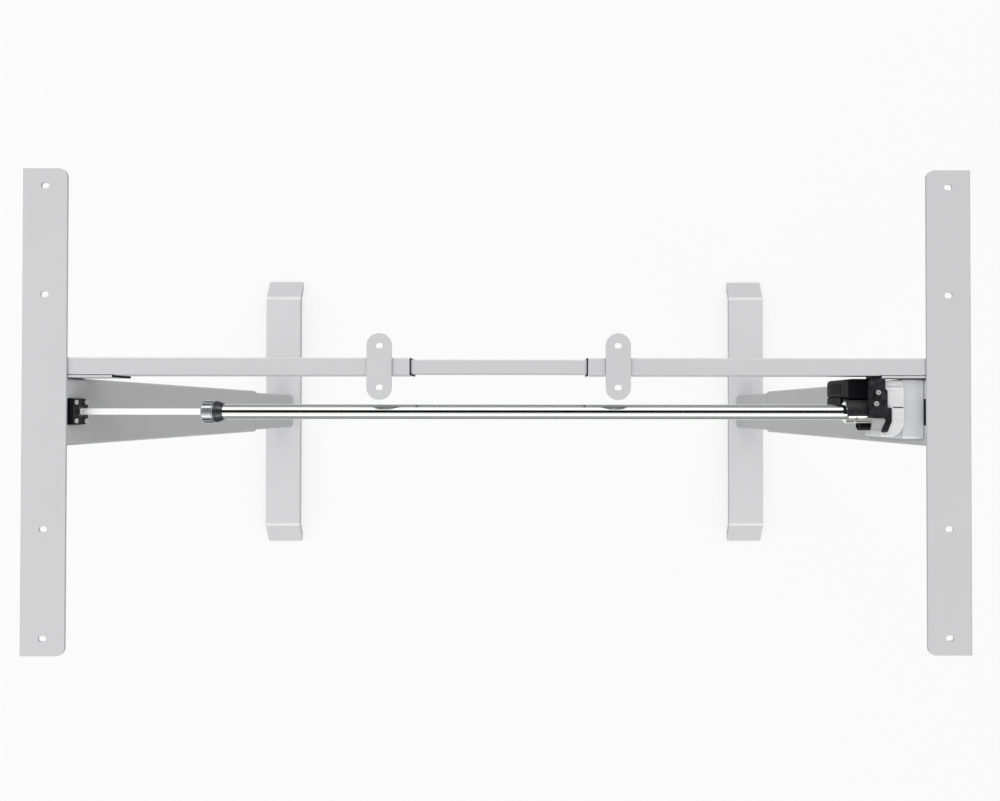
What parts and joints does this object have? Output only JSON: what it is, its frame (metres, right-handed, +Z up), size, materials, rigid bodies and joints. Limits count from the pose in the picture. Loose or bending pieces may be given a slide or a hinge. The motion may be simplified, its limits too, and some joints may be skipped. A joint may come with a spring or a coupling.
{
  "type": "height-adjustable desk frame",
  "caption": "Two-leg height-adjustable desk frame with slotted top brackets, a telescoping crossbar, flat feet and one motor that drives both legs through a long shaft.",
  "frame": {"origin": "on the floor, midway between the two legs and level with the drive shaft", "axes": "+X runs along the crossbar to the motor leg, +Y points to the back of the desk, +Z is up"},
  "size_m": [1.16, 0.61, 0.95],
  "materials": {
    "powder_coat": "fine silver-grey powder coat, satin",
    "black_paint": "black stoved paint on cast metal, satin",
    "black_plastic": "moulded black plastic, fine grain",
    "grey_plastic": "moulded grey plastic",
    "white_plastic": "natural acetal",
    "zinc_steel": "bright zinc plate",
    "bright_steel": "drawn bright steel",
    "gear_steel": "oiled machined steel",
    "nut_metal": "dark plated metal, ribbed",
    "chrome": "polished chrome plate",
    "cast_aluminium": "fine cast aluminium, bead blasted",
    "bronze": "cast bronze"
  },
  "bodies": {
    "left_base": {"foot_left": "powder_coat", "foot_bolts_left": "zinc_steel", "column_plug_left": "zinc_steel", "inner_column_left": "powder_coat", "lift_nut_left": "white_plastic", "glide_pads_left": "white_plastic"},
    "right_base": {"foot_right": "powder_coat", "foot_bolts_right": "zinc_steel", "column_plug_right": "zinc_steel", "inner_column_right": "powder_coat", "lift_nut_right": "white_plastic", "glide_pads_right": "white_plastic"},
    "left_top": {"outer_column_left": "powder_coat", "column_ring_left": "grey_plastic", "side_bracket_left": "powder_coat", "crossbar_tube_left": "powder_coat", "crossbar_collar_left": "black_plastic", "crossbar_screws_left": "zinc_steel", "socket_left": "powder_coat", "socket_cap_left": "black_plastic", "support_plate_left": "powder_coat", "gearbox_left": "black_paint", "screw_bearing_left": "zinc_steel", "gearbox_cover": "black_paint", "gearbox_screws": "zinc_steel"},
    "right_top": {"outer_column_right": "powder_coat", "column_ring_right": "grey_plastic", "side_bracket_right": "powder_coat", "crossbar_tube_right": "powder_coat", "crossbar_collar_right": "black_plastic", "crossbar_screws_right": "zinc_steel", "socket_right": "powder_coat", "socket_cap_right": "black_plastic", "support_plate_right": "powder_coat", "gearbox_right": "black_paint", "screw_bearing_right": "zinc_steel", "gear_housing": "cast_aluminium", "motor_can": "black_paint", "motor_mount": "cast_aluminium", "motor_cover": "black_plastic", "gear_lid": "black_plastic", "lid_fixings": "zinc_steel", "cable_connector": "black_plastic", "worm": "gear_steel"},
    "crossbar_middle": {"crossbar_slider": "powder_coat"},
    "rod": {"hex_rod": "bright_steel", "input_bevel": "gear_steel"},
    "tube": {"drive_tube": "chrome", "collet_sleeve": "black_plastic", "drive_hub": "chrome", "worm_wheel": "bronze"},
    "nut": {"clamp_nut": "nut_metal"},
    "screw_left": {"lead_screw_left": "gear_steel", "screw_bevel_left": "gear_steel"},
    "screw_right": {"lead_screw_right": "gear_steel", "screw_bevel_right": "gear_steel"},
    "level_front_left": {"leveller_front_left": "black_plastic"},
    "level_back_left": {"leveller_back_left": "black_plastic"},
    "level_front_right": {"leveller_front_right": "black_plastic"},
    "level_back_right": {"leveller_back_right": "black_plastic"}
  },
  "joints": [
    {"name": "height", "type": "slide", "parent": "left_base", "child": "left_top", "axis": [0, 0, 1], "range_m": [-0.24, 0.23]},
    {"name": "width_left", "type": "slide", "parent": "left_top", "child": "crossbar_middle", "axis": [1, 0, 0], "range_m": [-0.0675, 0.0825]},
    {"name": "width_right", "type": "slide", "parent": "crossbar_middle", "child": "right_top", "axis": [1, 0, 0], "range_m": [-0.0675, 0.0825]},
    {"name": "height_right", "type": "slide", "parent": "right_top", "child": "right_base", "axis": [0, 0, -1], "range_m": [-0.2405, 0.2305]},
    {"name": "rod_spin", "type": "hinge", "parent": "left_top", "child": "rod", "pos_m": [-0.5, 0, 0.926], "axis": [1, 0, 0], "range_deg": [-14401, 13801]},
    {"name": "tube_spin", "type": "hinge", "parent": "right_top", "child": "tube", "pos_m": [0.44, 0, 0.926], "axis": [1, 0, 0], "range_deg": [-14401, 13801]},
    {"name": "screw_left_spin", "type": "hinge", "parent": "left_top", "child": "screw_left", "pos_m": [-0.54, 0, 0.9], "axis": [0, 0, 1], "range_deg": [-14401, 13801]},
    {"name": "screw_right_spin", "type": "hinge", "parent": "right_top", "child": "screw_right", "pos_m": [0.54, 0, 0.9], "axis": [0, 0, 1], "range_deg": [-13801, 14401]},
    {"name": "nut_turn", "type": "hinge", "parent": "tube", "child": "nut", "pos_m": [-0.35, 0, 0.926], "axis": [1, 0, 0], "range_deg": [0, 270]},
    {"name": "level_front_left", "type": "slide", "parent": "left_base", "child": "level_front_left", "axis": [0, 0, 1], "range_m": [-0.008, 0]},
    {"name": "level_back_left", "type": "slide", "parent": "left_base", "child": "level_back_left", "axis": [0, 0, 1], "range_m": [-0.008, 0]},
    {"name": "level_front_right", "type": "slide", "parent": "right_base", "child": "level_front_right", "axis": [0, 0, 1], "range_m": [-0.008, 0]},
    {"name": "level_back_right", "type": "slide", "parent": "right_base", "child": "level_back_right", "axis": [0, 0, 1], "range_m": [-0.008, 0]}
  ],
  "couplings": [
    {"joint": "height_right", "follows": "height", "ratio": 1},
    {"joint": "rod_spin", "follows": "height", "rad_per_m": 1047.2},
    {"joint": "tube_spin", "follows": "height", "rad_per_m": 1047.2},
    {"joint": "screw_left_spin", "follows": "height", "rad_per_m": 1047.2},
    {"joint": "screw_right_spin", "follows": "height", "rad_per_m": -1047.2}
  ]
}
